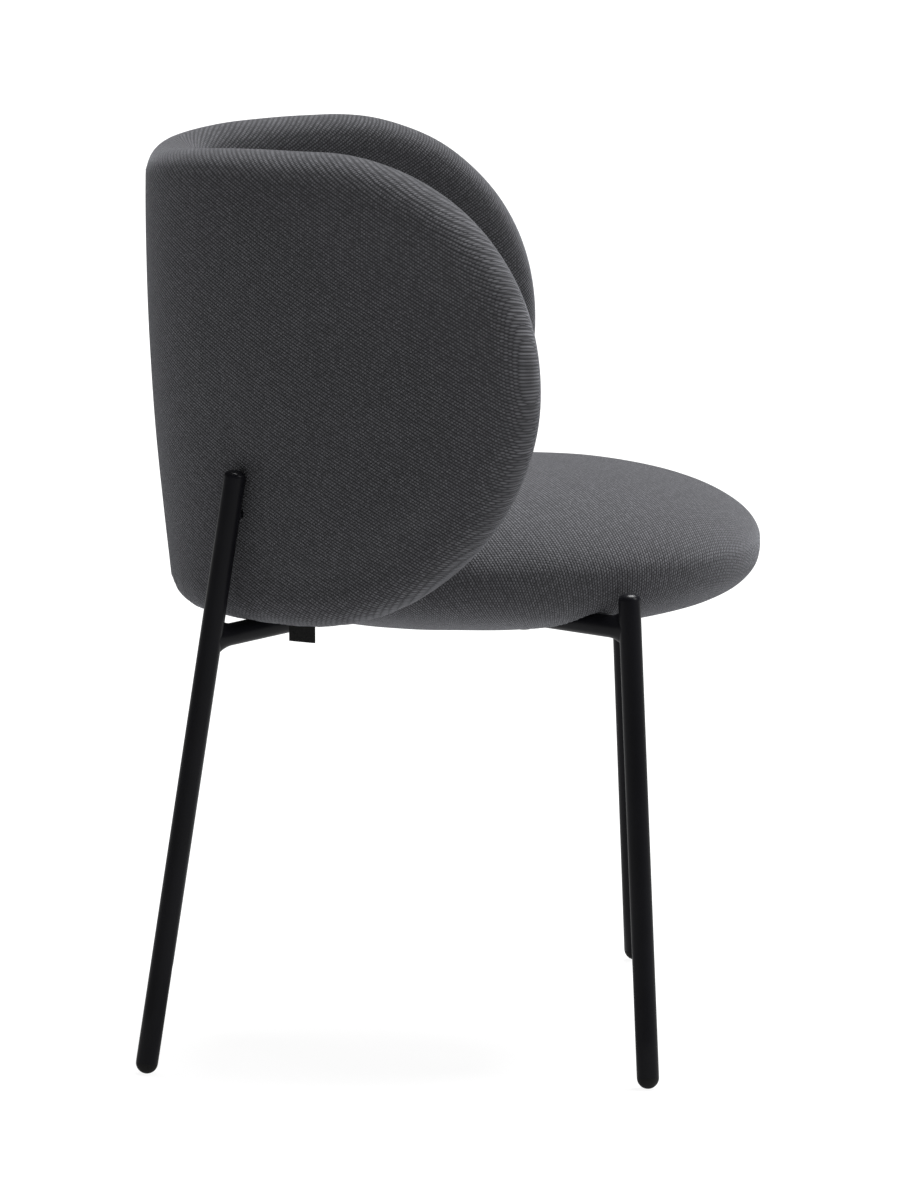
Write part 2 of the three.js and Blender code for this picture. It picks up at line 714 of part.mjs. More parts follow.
function makeBackCover() {
  return cut(backPad(0), backPad(COVER_THICK), backSlit(), ...barDents(),
    ...bossCuts(BOSS_R + GAP, 0, BACK_THICK));
}

// Blank woven tag that hangs from the pad's bottom edge on the right side
function makeTag() {
  let along = 0;
  while (backPoint(along, -BOTTOM_R, 0)[1] > TAG_Y) along -= 0.5;
  const beyond = Math.max(0, (Math.abs(along) - WING_FLAT) / WING_R);
  const edge = -BOTTOM_R * Math.sqrt(1 - beyond ** 2);
  const top = new THREE.Vector3(...backPoint(along, edge, 0));
  const tag = box(TAG_SIZE, [0, 0, -TAG_SIZE[2] / 2 - GAP]);
  const turn = new THREE.Matrix4().makeRotationZ(-planHeading(Math.abs(along)) - Math.PI / 2);
  return posed(tag, turn.setPosition(top));
}

// ---------- Assembly ----------

const chair = new THREE.Group();

for (const end of ['front', 'rear']) {
  for (const [word, side] of RIGHT_LEFT) {
    chair.add(
      piece(`leg_${end}_${word}`, makeLeg(end, side), blackPaint),
      piece(`leg_cap_${end}_${word}`, makeTopCap(end, side), blackPaint),
      piece(`foot_glide_${end}_${word}`, makeGlide(end, side), blackPlastic),
    );
  }
}
chair.add(...makeCrossBars(), makeSeat());
chair.add(
  piece('back_panel', makeBackPanel(), plywood),
  piece('back_foam', makeBackFoam(), foam),
  piece('back_cover', makeBackCover(), fabric),
  piece('back_bracket', makeBracket(), zincSteel),
  ...makeBracketScrews(),
  piece('woven_tag', makeTag(), blackCloth),
);
for (const [word, side] of RIGHT_LEFT) {
  chair.add(
    piece(`back_boss_${word}`, makeBoss(side), blackPaint),
    piece(`back_bolt_${word}`, makeBackBolt(side), zincSteel),
  );
}

export default chair;
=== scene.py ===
"""Looks of the dining chair: a padded wraparound back and a round padded seat in charcoal
hopsack on a black welded tube frame. Metres, +Z up, the chair faces -Y."""

import math

import bpy
import numpy as np
from mathutils import Matrix, Vector
from mathutils.bvhtree import BVHTree
from mathutils.geometry import barycentric_transform


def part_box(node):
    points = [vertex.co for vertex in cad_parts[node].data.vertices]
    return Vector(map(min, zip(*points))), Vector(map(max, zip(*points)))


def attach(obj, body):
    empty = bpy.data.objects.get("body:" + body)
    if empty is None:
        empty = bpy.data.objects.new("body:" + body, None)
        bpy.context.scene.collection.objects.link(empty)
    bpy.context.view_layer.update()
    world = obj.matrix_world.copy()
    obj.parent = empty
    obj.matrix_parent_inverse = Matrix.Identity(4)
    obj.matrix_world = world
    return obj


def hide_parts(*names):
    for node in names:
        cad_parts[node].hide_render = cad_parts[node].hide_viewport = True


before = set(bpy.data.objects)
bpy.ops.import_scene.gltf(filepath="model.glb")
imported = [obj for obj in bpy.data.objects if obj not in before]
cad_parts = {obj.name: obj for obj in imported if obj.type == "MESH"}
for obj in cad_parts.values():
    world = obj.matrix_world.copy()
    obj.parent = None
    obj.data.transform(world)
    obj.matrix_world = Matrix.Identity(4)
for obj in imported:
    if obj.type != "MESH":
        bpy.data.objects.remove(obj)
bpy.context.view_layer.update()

MM = 0.001
SIDES = ("right", "left")
ENDS = ("front", "rear")

# All dimensions are in millimetres unless a comment says otherwise.
# Back pad: the same driving dimensions as the CAD model
BACK_Y = 229.5  # rearmost point of the plan curve
BACK_Z = 584.5  # height of the pad's middle
BACK_HALF = 23.5  # half the pad's thickness at its rim
BACK_CROWN = 4.5  # how much fuller each face is in the middle
BACK_BOW = 3.5  # how far the middle height stands out from top and bottom
WING_FLAT = 200  # half the length of the outline's straights
WING_R = 209  # reach of a wing's half round along the back
TOP_R = 200.5
BOTTOM_R = 203
TOP_POWER = 2.06  # roundness of the outline, 2 is an ellipse
BOTTOM_POWER = 1.94
TOP_DIP = 11  # dip of the top edge behind the sitter
TOP_DIP_WIDTH = 80
WRAP_LENGTH = 94  # distance along the back in which it turns half of its wrap
FLARE = math.radians(13.2)  # angle from straight ahead that the wings tend to
REAR_LEAN = 0.056  # slope of the rear, outwards with height
SIDE_LEAN = -0.12  # and of the wings, inwards with height

# Seat cushion, about the middle of its widest plane
SEAT_Y = -38.5
SEAT_HALF_WIDTH = 193
SEAT_HALF_DEPTH = 230
SEAT_EGG = 0.14  # how much the plan narrows towards the rear, as a share
SEAT_CROWN = 75.5
SEAT_BELLY = 58.5
SEAT_POWER = 1.8  # roundness above the widest plane, 2 is an ellipse
SEAT_LOW_POWER = 2.95
SEAT_PLAN_POWER = 2.1
BOARD_DROP = 29.5  # from the widest plane down to the board's underside
COVER_DROP = BOARD_DROP + 0.3  # and to the cover, just under the board
LIP_ANGLE = math.radians(51)  # where the belly starts to turn up to the board
LIP_SHARE = 0.585  # size of the opening inside the lip, as a share of the cushion's plan
LIP_LEAD = 0.05  # how far the belly's line runs on before it turns, as such a share

# Frame
TUBE_R = 9.5
TUBE_CLEAR = 0.9  # room between the padding and a bar pressed into it
CAP_RISE = 6.3
WELD_FLARE = 5.0  # how far a weld fillet spreads above and below its bar
CROSSING_FLARE = 3.0

# Tag
TAG_LENGTH = 25
TAG_TUCK = 3  # height of the part that is hidden in the pad's seam
TAG_GAP = 0.28  # half the gap between its two layers
TAG_FOLD = 0.8  # height in which the layers come together at the fold
TAG_THREAD = 0.45

# Mesh detail
PAD_STEPS = 400  # points round each pad
BACK_FACE_RINGS = 34
BACK_RIM_RINGS = 20
SEAT_UPPER_RINGS = 48
SEAT_LOWER_RINGS = 26
SEAT_LIP_RINGS = 18
COVER_SHARES = (0.56, 0.5, 0.4, 0.3, 0.2, 0.1)  # rings under the board

# Cloth simulation
BACK_START = 5.0  # how much smaller than the finished pad the simulation starts
SEAT_START = 5.0
BACK_VOXEL = 6.5  # size of the simulated mesh's faces
SEAT_VOXEL = 5.0
PRESSURE = 4.0  # as the cloth settings count it
SIMULATED_FRAMES = 20
EVENING_ROUNDS = 12
SWELL_SHARE = 0.35  # how much of the simulated difference in fullness is kept
SWELL_LIMIT = 1.6  # most that it may change the finished pad

# Padding pressed in by the frame
NOWHERE = -9.0  # height given where nothing presses, in metres
SOFT_EDGE = 0.8
GROOVE_FLANK = 5.0  # slope of the sides beside a bar
ROOF_FLANK = 2.5  # slope of the sides beside the bracket
PRESS_REACH = 20  # how far beside the bracket the padding is pressed

# Camera: square to the chair's right side, looking down about ten degrees
CAMERA_PLACE = (-6.8373, 0.0015, 1.6084)  # metres
CAMERA_PITCH = 0.1784  # radians
CAMERA_LENS = 240


# ---------- Mesh helpers ----------

def mesh_object(name, points, faces):
    mesh = bpy.data.meshes.new(name)
    mesh.from_pydata([tuple(p) for p in points], [], faces)
    mesh.validate()
    mesh.polygons.foreach_set("use_smooth", [True] * len(mesh.polygons))
    made = bpy.data.objects.new(name, mesh)
    bpy.context.scene.collection.objects.link(made)
    return made


def ring_faces(rings, steps, first_shut, last_shut):
    """Quads through rings of points. A shut end's ring is a single point of its own."""
    faces = []
    for r in range(rings - 1):
        for k in range(steps):
            a, b = r * steps + k, r * steps + (k + 1) % steps
            faces.append((a, a + steps, b + steps, b))
    count = rings * steps
    if first_shut:
        faces += [(count, k, (k + 1) % steps) for k in range(steps)]
        count += 1
    if last_shut:
        start = (rings - 1) * steps
        faces += [(count, start + (k + 1) % steps, start + k) for k in range(steps)]
    return faces


def ring_object(name, rings, first=None, last=None):
    """Body through rings (array rings x steps x 3, in metres), shut by the points given."""
    count, steps = rings.shape[:2]
    points = list(rings.reshape(-1, 3))
    points += [p for p in (first, last) if p is not None]
    return mesh_object(name, points, ring_faces(count, steps, first is not None, last is not None))


def points_of(mesh):
    flat = np.zeros(len(mesh.vertices) * 3)
    mesh.vertices.foreach_get("co", flat)
    return flat.reshape(-1, 3)


def set_points(mesh, points):
    mesh.vertices.foreach_set("co", np.asarray(points, float).ravel())
    mesh.update()


def normals_of(piece):
    flat = np.zeros(len(piece.data.vertices) * 3)
    piece.data.vertices.foreach_get("normal", flat)
    return flat.reshape(-1, 3)


def signed_power(value, power):
    return np.sign(value) * np.abs(value) ** power


def smooth_step(value):
    value = np.clip(value, 0, 1)
    return value * value * (3 - 2 * value)


# ---------- Places read from the frame ----------

def tube_axis(node):
    """Ends of a straight tube's axis, from its CAD node, lowest end first."""
    points = points_of(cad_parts[node].data)
    middle = (points.min(0) + points.max(0)) / 2
    direction = np.linalg.svd(points - points.mean(0), full_matrices=False)[2][0]
    direction *= np.sign(direction[2]) or 1
    reach = (points - middle) @ direction
    axis_middle = points.mean(0) - ((points.mean(0) - middle) @ direction) * direction
    return axis_middle + reach.min() * direction, axis_middle + reach.max() * direction


def board_plane():
    """Normal of the seat board, and the height along it of the board's underside."""
    points = points_of(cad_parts["seat_board"].data)
    normal = np.linalg.svd(points - points.mean(0), full_matrices=False)[2][2]
    normal *= np.sign(normal[2])
    return normal, (points @ normal).min()


def seat_matrix():
    """From the cushion's own millimetres, level about its widest plane, to the row frame."""
    normal, underside = board_plane()
    level = underside + BOARD_DROP * MM
    y = SEAT_Y * MM
    z = (level - normal[1] * y) / normal[2]
    tilt = math.atan2(normal[1], normal[2])
    return Matrix.Translation((0, y, z)) @ Matrix.Rotation(-tilt, 4, "X") @ Matrix.Scale(MM, 4)


def moved(points, matrix):
    m = np.array(matrix)
    return points @ m[:3, :3].T + m[:3, 3]


# ---------- Back pad ----------

def plan_heading(distance):
    return FLARE + (math.pi / 2 - FLARE) / (1 + (distance / WRAP_LENGTH) ** 2)


def plan_curve():
    """Distances along the back's plan curve and the curve's points, in millimetres."""
    step = 0.5
    distance = np.arange(0, WING_FLAT + WING_R + 20, step)
    heading = plan_heading(distance[:-1] + step / 2)
    x = np.concatenate([[0], np.cumsum(step * np.sin(heading))])
    y = BACK_Y - np.concatenate([[0], np.cumsum(step * np.cos(heading))])
    return distance, x, y


PLAN = plan_curve()


def back_points(along, up, out):
    """Points of the back from distance along the plan curve, height and offset."""
    side = np.where(along < 0, -1, 1)
    reach = np.abs(along)
    heading = plan_heading(reach)
    x, y = np.interp(reach, PLAN[0], PLAN[1]), np.interp(reach, PLAN[0], PLAN[2])
    nx, ny = np.cos(heading), np.sin(heading)
    lean = REAR_LEAN * ny ** 2 + SIDE_LEAN * nx ** 2
    offset = out + lean * up + BACK_BOW * (1 - (up / TOP_R) ** 2)
    return np.stack([side * (x + nx * offset), y + ny * offset, BACK_Z + up], axis=-1)


def round_outline(steps):
    """Ring of steps round the outline from the middle of the left wing: two half rounds
    joined by two straights. Gives the straights' distance along the back and the angle."""
    quarter = (np.arange(steps) * 4 / steps + 0.5) % 4
    part = quarter % 1
    left, right = quarter < 1, (quarter >= 2) & (quarter < 3)
    top, bottom = (quarter >= 1) & (quarter < 2), quarter >= 3
    conditions = [left, top, right, bottom]
    straight = np.select(conditions, [1 + 0 * part, 1 - 2 * part, -1 + 0 * part, 2 * part - 1])
    turn = np.select(conditions, [part - 0.5, 0.5 + 0 * part, part + 0.5, 1.5 + 0 * part])
    return WING_FLAT * straight, math.pi * turn


def back_section(inset):
    """Section of the pad from the middle of its outer face round the rim to the inner one:
    shares of the outline, offsets from the middle surface and turns round the rim."""
    half = BACK_HALF - inset
    reach = TOP_R - inset
    flat = reach - half
    share, out, turn = [], [], []
    for i in range(1, BACK_FACE_RINGS + 1):
        s = (flat / reach) * (i / BACK_FACE_RINGS)
        share.append(s)
        out.append(half + BACK_CROWN * (1 - s ** 2))
        turn.append(0)
    for i in range(1, BACK_RIM_RINGS):
        angle = math.pi * i / BACK_RIM_RINGS
        share.append((flat + half * math.sin(angle)) / reach)
        out.append(half * math.cos(angle))
        turn.append(min(angle, math.pi - angle))
    share += share[:BACK_FACE_RINGS][::-1]
    out += [-o for o in out[:BACK_FACE_RINGS][::-1]]
    turn += [0] * BACK_FACE_RINGS
    return (np.array(values)[:, None] for values in (share, out, turn))


def back_pad(inset):
    """Rings of the pad and the cloth's own coordinates there, all in millimetres."""
    share, out, turn = back_section(inset)
    middle, angle = (values[None, :] for values in round_outline(PAD_STEPS))
    power = np.where(np.sin(angle) >= 0, 2 / TOP_POWER, 2 / BOTTOM_POWER)
    sideways = signed_power(np.cos(angle), power)
    upwards = signed_power(np.sin(angle), power)
    along = middle + share * (WING_R - inset) * sideways
    radius = np.where(upwards >= 0, TOP_R, BOTTOM_R) - inset
    rise = share * radius * upwards
    dip = TOP_DIP * np.maximum(rise / TOP_R, 0) ** 2 * np.exp(-((along / TOP_DIP_WIDTH) ** 2))
    up = rise - dip
    out = out + 0 * along
    rings = back_points(along, up, out)

    spare = (BACK_HALF - inset) * (turn - np.sin(turn))  # cloth that goes round the rim
    length = np.hypot(sideways, upwards)
    bend = np.sign(along) * (math.pi / 2 - plan_heading(np.abs(along)))
    cloth = np.stack([along + out * bend + spare * sideways / length,
                      up + spare * upwards / length], axis=-1)
    return rings, cloth


def shut_back(rings):
    """Faces of the pad: the ring next to each face's middle line closes onto itself."""
    count, steps = rings.shape[:2]
    faces = ring_faces(count, steps, False, False)
    half = steps // 2
    for start, turned in ((0, False), ((count - 1) * steps, True)):
        for k in range(half):
            a, b = start + k, start + k + 1
            c, d = start + (steps - k - 1) % steps, start + (steps - k) % steps
            quad = (a, b, c, d) if k not in (0, half - 1) else tuple(dict.fromkeys((a, b, c, d)))
            faces.append(quad[::-1] if turned else quad)
    return faces


# ---------- Seat cushion ----------

def seat_profile(inset):
    """Shares of the plan and heights of the cushion's section, from its top to the board."""
    power, low_power = 2 / SEAT_POWER, 2 / SEAT_LOW_POWER
    points = []
    for i in range(1, SEAT_UPPER_RINGS + 1):
        angle = math.pi / 2 * (1 - (i / SEAT_UPPER_RINGS))
        points.append((math.cos(angle) ** power, (SEAT_CROWN - inset) * math.sin(angle) ** power))
    for i in range(1, SEAT_LOWER_RINGS + 1):
        angle = LIP_ANGLE * i / SEAT_LOWER_RINGS
        points.append((math.cos(angle) ** low_power,
                       -(SEAT_BELLY - inset) * math.sin(angle) ** low_power))
    points += lip_curve(points[-2], points[-1])
    points += [(share, -COVER_DROP) for share in COVER_SHARES]
    return np.array(points)


def lip_curve(before, last):
    """Bezier curve that leads the belly's line round the lip and up to the board."""
    run = (last[0] - before[0], last[1] - before[1])
    stretch = LIP_LEAD / abs(run[0])
    corner = (last[0] + run[0] * stretch, last[1] + run[1] * stretch)
    hooks = [last, corner, (LIP_SHARE, corner[1] - 1), (LIP_SHARE, -COVER_DROP)]
    points = []
    for i in range(1, SEAT_LIP_RINGS + 1):
        t = i / SEAT_LIP_RINGS
        weights = ((1 - t) ** 3, 3 * t * (1 - t) ** 2, 3 * t ** 2 * (1 - t), t ** 3)
        points.append(tuple(sum(w * h[k] for w, h in zip(weights, hooks)) for k in (0, 1)))
    return points


def seat_plan(steps):
    """Directions of points round the cushion's plan, across and back, each -1 to 1."""
    angle = np.linspace(0, 2 * math.pi, steps, endpoint=False)
    across = signed_power(np.cos(angle), 2 / SEAT_PLAN_POWER)
    back = signed_power(np.sin(angle), 2 / SEAT_PLAN_POWER)
    return (1 - SEAT_EGG * back) * across, back


def seat_pad(inset):
    """Rings of the cushion and the cloth's own coordinates there, in its own millimetres."""
    profile = seat_profile(inset)
    share, height = profile[:, :1], profile[:, 1:]
    across, back = (values[None, :] for values in seat_plan(PAD_STEPS))
    rim_x = (SEAT_HALF_WIDTH - inset) * across
    rim_y = (SEAT_HALF_DEPTH - inset) * back
    rings = np.stack([share * rim_x, share * rim_y, height + 0 * rim_x], axis=-1)
    centre = np.array([0, 0, SEAT_CROWN - inset])
    steps_out = np.diff(np.concatenate([np.broadcast_to(centre, rings[:1].shape), rings]), axis=0)
    length = np.cumsum(np.linalg.norm(steps_out, axis=-1), axis=0)
    radius = np.hypot(rim_x, rim_y)
    cloth = np.stack([length * rim_x / radius, length * rim_y / radius], axis=-1)
    return rings, cloth


# ---------- Cloth simulation ----------

def even_copy(source, voxel):
    """A copy of a pad with faces of one size, fit to be simulated."""
    copy = source.copy()
    copy.data = source.data.copy()
    bpy.context.scene.collection.objects.link(copy)
    remesh = copy.modifiers.new("Remesh", "REMESH")
    remesh.mode = "VOXEL"
    remesh.voxel_size = voxel
    depsgraph = bpy.context.evaluated_depsgraph_get()
    start = bpy.data.meshes.new_from_object(copy.evaluated_get(depsgraph))
    copy.modifiers.clear()
    copy.data = start
    return copy


def add_cloth(copy, pinned):
    """Cloth under pressure from inside, held where it is pinned."""
    group = copy.vertex_groups.new(name="pinned")
    group.add([int(i) for i in np.nonzero(pinned)[0]], 1.0, "REPLACE")
    cloth = copy.modifiers.new("Cloth", "CLOTH")
    settings = cloth.settings
    settings.quality = 5
    settings.mass = 0.3
    settings.tension_stiffness = 20
    settings.compression_stiffness = 20
    settings.shear_stiffness = 8
    settings.bending_stiffness = 1.0
    settings.use_pressure = True
    settings.uniform_pressure_force = PRESSURE
    settings.effector_weights.gravity = 0
    settings.vertex_group_mass = "pinned"
    cloth.point_cache.frame_start = 1
    cloth.point_cache.frame_end = SIMULATED_FRAMES


def simulate_swell(source, voxel, pinned):
    """Swells a copy of a pad. Returns its start mesh and how far each of its points moved."""
    copy = even_copy(source, voxel)
    start = copy.data
    points = points_of(start)
    add_cloth(copy, pinned(points))
    scene = bpy.context.scene
    for number in range(1, SIMULATED_FRAMES + 1):
        scene.frame_set(number)
    depsgraph = bpy.context.evaluated_depsgraph_get()
    after = points_of(copy.evaluated_get(depsgraph).data)
    scene.frame_set(1)
    copy.modifiers.clear()
    bpy.data.objects.remove(copy)
    return start, after - points


def evened(mesh, moves, rounds):
    """Averages the moves over neighbouring points."""
    edges = np.array([tuple(e.vertices) for e in mesh.edges])
    count = np.bincount(edges.ravel(), minlength=len(moves))[:, None]
    for _ in range(rounds):
        total = np.zeros_like(moves)
        np.add.at(total, edges[:, 0], moves[edges[:, 1]])
        np.add.at(total, edges[:, 1], moves[edges[:, 0]])
        moves = (moves + total / np.maximum(count, 1)) / 2
    return moves


def spread_moves(points, start, moves):
    """The simulated moves, read off the simulated mesh at the nearest place to each point."""
    start.calc_loop_triangles()
    corners = [tuple(t.vertices) for t in start.loop_triangles]
    places = [v.co.copy() for v in start.vertices]
    tree = BVHTree.FromPolygons(places, corners)
    found = np.zeros_like(points)
    for i, point in enumerate(points):
        place, _, index, _ = tree.find_nearest(Vector(point))
        a, b, c = corners[index]
        found[i] = barycentric_transform(
            place, places[a], places[b], places[c],
            Vector(moves[a]), Vector(moves[b]), Vector(moves[c]))
    return found


def swell(pad, inset, voxel, pinned):
    """Grows a pad from its start size to full size, fuller where the simulated cloth swelled
    more and flatter where it stayed taut."""
    points = points_of(pad.data)
    normals = normals_of(pad)
    growth = np.full(len(points), inset * MM)
    start, moves = simulate_swell(pad, voxel * MM, pinned)
    moves = evened(start, moves, EVENING_ROUNDS)
    outward = (spread_moves(points, start, moves) * normals).sum(axis=1)
    free = ~pinned(points)
    swing = SWELL_SHARE * (outward - np.median(outward[free]))
    growth += np.clip(swing, -SWELL_LIMIT * MM, SWELL_LIMIT * MM)
    set_points(pad.data, points + normals * np.where(pinned(points), 0, growth)[:, None])


# ---------- Padding pressed in by the frame ----------

def raise_over(points, target):
    """Lifts points that lie under a height, with a soft edge."""
    soft = SOFT_EDGE * MM
    gap = target - points[:, 2]
    lift = np.where(gap > 8 * soft, gap, soft * np.log1p(np.exp(np.clip(gap / soft, -30, 30))))
    lifted = points.copy()
    lifted[:, 2] += np.where(target > NOWHERE, lift, 0)
    return lifted


def press_bar(points, ends):
    """Groove over a cross bar that runs under the padding."""
    start, end = ends
    run = end - start
    flat_run = run[:2] / np.linalg.norm(run[:2])
    offset = points[:, :2] - start[:2]
    travel = offset @ flat_run / np.linalg.norm(run[:2])
    sideways = np.abs(offset @ np.array([-flat_run[1], flat_run[0]]))
    height = start[2] + run[2] * travel
    reach = (TUBE_R + TUBE_CLEAR) * MM
    beyond = np.maximum(sideways - reach, 0)
    crest = height + np.sqrt(np.maximum(reach ** 2 - sideways ** 2, 0))
    near = (beyond < 0.03) & (travel > -0.1) & (travel < 1.1) & (points[:, 2] < height + 0.02)
    return raise_over(points, np.where(near, crest - GROOVE_FLANK * beyond, NOWHERE))


def press_roof(points, crest, beside, beyond):
    """Hollow over the bracket, whose sides slope down past the bracket's sides and end."""
    roof = crest - ROOF_FLANK * np.hypot(beside, beyond)
    near = (beside < PRESS_REACH * MM) & (beyond < PRESS_REACH * MM)
    return raise_over(points, np.where(near, roof, NOWHERE))


# ---------- Node materials ----------

class Nodes:
    """A new node material and short ways to add to it."""

    def __init__(self, name, **shader):
        self.material = bpy.data.materials.new(name)
        self.material.use_nodes = True
        self.tree = self.material.node_tree
        self.shader = self.tree.nodes["Principled BSDF"]
        for socket, value in shader.items():
            self.shader.inputs[socket.replace("_", " ")].default_value = value

    def add(self, kind, inputs=(), **settings):
        node = self.tree.nodes.new(kind)
        for key, value in settings.items():
            setattr(node, key, value)
        for key, value in dict(inputs).items():
            self.feed(node.inputs[key], value)
        return node

    def feed(self, socket, value):
        if isinstance(value, bpy.types.NodeSocket):
            self.tree.links.new(value, socket)
        else:
            socket.default_value = value

    def math(self, operation, *values):
        node = self.add("ShaderNodeMath", operation=operation)
        for socket, value in zip(node.inputs, values):
            self.feed(socket, value)
        return node.outputs[0]

    def noise(self, scale, detail=2.0, vector=None):
        inputs = {"Scale": scale, "Detail": detail}
        if vector is not None:
            inputs["Vector"] = vector
        return self.add("ShaderNodeTexNoise", inputs).outputs["Fac"]

    def place(self):
        return self.add("ShaderNodeTexCoord").outputs["Object"]

    def ramp(self, factor, *stops):
        node = self.add("ShaderNodeValToRGB", {"Fac": factor})
        elements = node.color_ramp.elements
        while len(elements) < len(stops):
            elements.new(0.5)
        for element, (position, grey) in zip(elements, stops):
            element.position = position
            element.color = (*grey, 1) if hasattr(grey, "__len__") else (grey, grey, grey, 1)
        return node.outputs["Color"]

    def bump(self, height, distance, strength):
        inputs = {"Height": height, "Distance": distance, "Strength": strength}
        return self.add("ShaderNodeBump", inputs).outputs["Normal"]

    def finish(self, **links):
        for socket, value in links.items():
            self.feed(self.shader.inputs[socket.replace("_", " ")], value)
        return self.material


# The cloth has rows of raised dots, with a groove between each pair of rows. Their colour is
# painted lighter on each dot's crown, as a painted highlight, and darker in the gaps and grooves,
# as painted shade.
DOT = 2.6 * MM
ROW = 2.36 * MM
STAGGER = 0.36  # how far each row is shifted on the last, as a share of a dot
WANDER = 1.2 * MM  # how far the rows wander
ROW_SLOPE = {"back": math.radians(28), "seat": math.radians(29)}


def woven_place(made, place, slope):
    """Cloth coordinates turned to the rows' slope, with a little wander."""
    cloth = made.add("ShaderNodeAttribute", attribute_name="cloth").outputs["Vector"]
    wander = made.add("ShaderNodeTexNoise", {"Vector": place, "Scale": 45.0, "Detail": 1.0})
    shift = made.add("ShaderNodeVectorMath", {0: wander.outputs["Color"], 1: (0.5, 0.5, 0.5)},
                     operation="SUBTRACT").outputs[0]
    drift = made.add("ShaderNodeVectorMath", {0: shift, "Scale": WANDER},
                     operation="SCALE").outputs[0]
    pulled = made.add("ShaderNodeVectorMath", {0: cloth, 1: drift}, operation="ADD").outputs[0]
    turned = made.add("ShaderNodeVectorRotate", {"Vector": pulled, "Angle": -slope},
                      rotation_type="Z_AXIS").outputs[0]
    return made.add("ShaderNodeSeparateXYZ", {"Vector": turned}).outputs


def woven_dots(made, place, slope):
    """Height of the raised dots, each dot's own random number, and the pairing of the rows."""
    woven = woven_place(made, place, slope)
    row_at = made.math("DIVIDE", woven["Y"], ROW)
    row = made.math("FLOOR", row_at)
    across = made.math("SUBTRACT", made.math("FRACT", row_at), 0.5)
    dot_at = made.math("MULTIPLY_ADD", row, STAGGER, made.math("DIVIDE", woven["X"], DOT))
    dot = made.math("FLOOR", dot_at)
    along = made.math("SUBTRACT", made.math("FRACT", dot_at), 0.5)

    radius = made.math("ADD", made.math("POWER", made.math("DIVIDE", across, 0.46), 2.0),
                       made.math("POWER", made.math("DIVIDE", along, 0.50), 2.0))
    dome = made.math("SQRT", made.math("MAXIMUM", made.math("SUBTRACT", 1.0, radius), 0.0))
    cell = made.add("ShaderNodeCombineXYZ", {"X": dot, "Y": row})
    luck = made.add("ShaderNodeTexWhiteNoise", {"Vector": cell.outputs[0]},
                    noise_dimensions="2D").outputs["Value"]

    half_row = made.math("FRACT", made.math("MULTIPLY", row_at, 0.5))
    pair = made.math("ABSOLUTE", made.math("SUBTRACT", half_row, 0.5))
    rise = made.math("MULTIPLY", made.math("SUBTRACT", 0.5, pair), 5.0)
    return dome, luck, made.math("SMOOTH_MIN", rise, 1.0, 0.2)


def fabric_material(name, slope):
    made = Nodes(name, Roughness=0.92, Sheen_Weight=0.22, Sheen_Roughness=0.45,
                 Specular_IOR_Level=0.25)
    made.shader.inputs["Sheen Tint"].default_value = (0.9, 0.92, 1.0, 1)
    place = made.place()
    dome, luck, groove = woven_dots(made, place, slope)
    fibre = made.noise(2600.0, 2.0, place)
    patch = made.noise(9.0, 3.0, place)
    # Colour follows the dots' height: painted highlight on each crown and painted shade in the
    # gaps and grooves, mixed with each dot's own random tone and fibre and patch noise
    dot_tone_painted_highlight_and_shade = made.math("MULTIPLY", dome, made.math("MULTIPLY_ADD", luck, 0.5, 0.5))
    dot_tone_painted_highlight_and_shade = made.math("MULTIPLY", dot_tone_painted_highlight_and_shade, groove)
    dot_tone_painted_highlight_and_shade = made.math("MULTIPLY_ADD", made.math("SUBTRACT", fibre, 0.5), 0.35, dot_tone_painted_highlight_and_shade)
    dot_tone_painted_highlight_and_shade = made.math("MULTIPLY_ADD", made.math("SUBTRACT", patch, 0.5), 0.12, dot_tone_painted_highlight_and_shade)
    color = made.ramp(dot_tone_painted_highlight_and_shade, (0.0, (0.026, 0.026, 0.0282)), (0.45, (0.060, 0.060, 0.065)),
                      (1.0, (0.118, 0.118, 0.1275)))
    height = made.math("MULTIPLY_ADD", fibre, 0.25, made.math("MULTIPLY", dome, groove))
    return made.finish(Base_Color=color, Normal=made.bump(height, 0.55 * MM, 0.8))


def paint_material():
    made = Nodes("black_paint", Specular_IOR_Level=0.16)
    place = made.place()
    grain = made.noise(900.0, 3.0, place)
    cloud = made.noise(14.0, 3.0, place)
    rough = made.math("MULTIPLY_ADD", cloud, 0.10, made.math("MULTIPLY_ADD", grain, 0.08, 0.22))
    color = made.ramp(cloud, (0.3, (0.0042, 0.0042, 0.0056)), (0.7, (0.0062, 0.0062, 0.0082)))
    return made.finish(Base_Color=color, Roughness=rough, Normal=made.bump(grain, 0.03 * MM, 0.5))


def plastic_material():
    made = Nodes("black_plastic", Specular_IOR_Level=0.2)
    place = made.place()
    grain = made.noise(1500.0, 2.0, place)
    scuff = made.noise(60.0, 4.0, place)
    rough = made.math("MULTIPLY_ADD", scuff, 0.18, 0.34)
    color = made.ramp(scuff, (0.35, 0.0060), (0.75, 0.0095))
    return made.finish(Base_Color=color, Roughness=rough, Normal=made.bump(grain, 0.04 * MM, 0.5))


def zinc_material():
    made = Nodes("zinc_steel", Metallic=1.0)
    place = made.place()
    spangle = made.add("ShaderNodeTexVoronoi", {"Vector": place, "Scale": 420.0})
    cloud = made.noise(120.0, 3.0, place)
    color = made.ramp(cloud, (0.3, (0.52, 0.53, 0.54)), (0.7, (0.66, 0.66, 0.65)))
    rough = made.math("MULTIPLY_ADD", spangle.outputs["Distance"], 0.25, 0.24)
    return made.finish(Base_Color=color, Roughness=rough, Normal=made.bump(cloud, 0.05 * MM, 0.4))


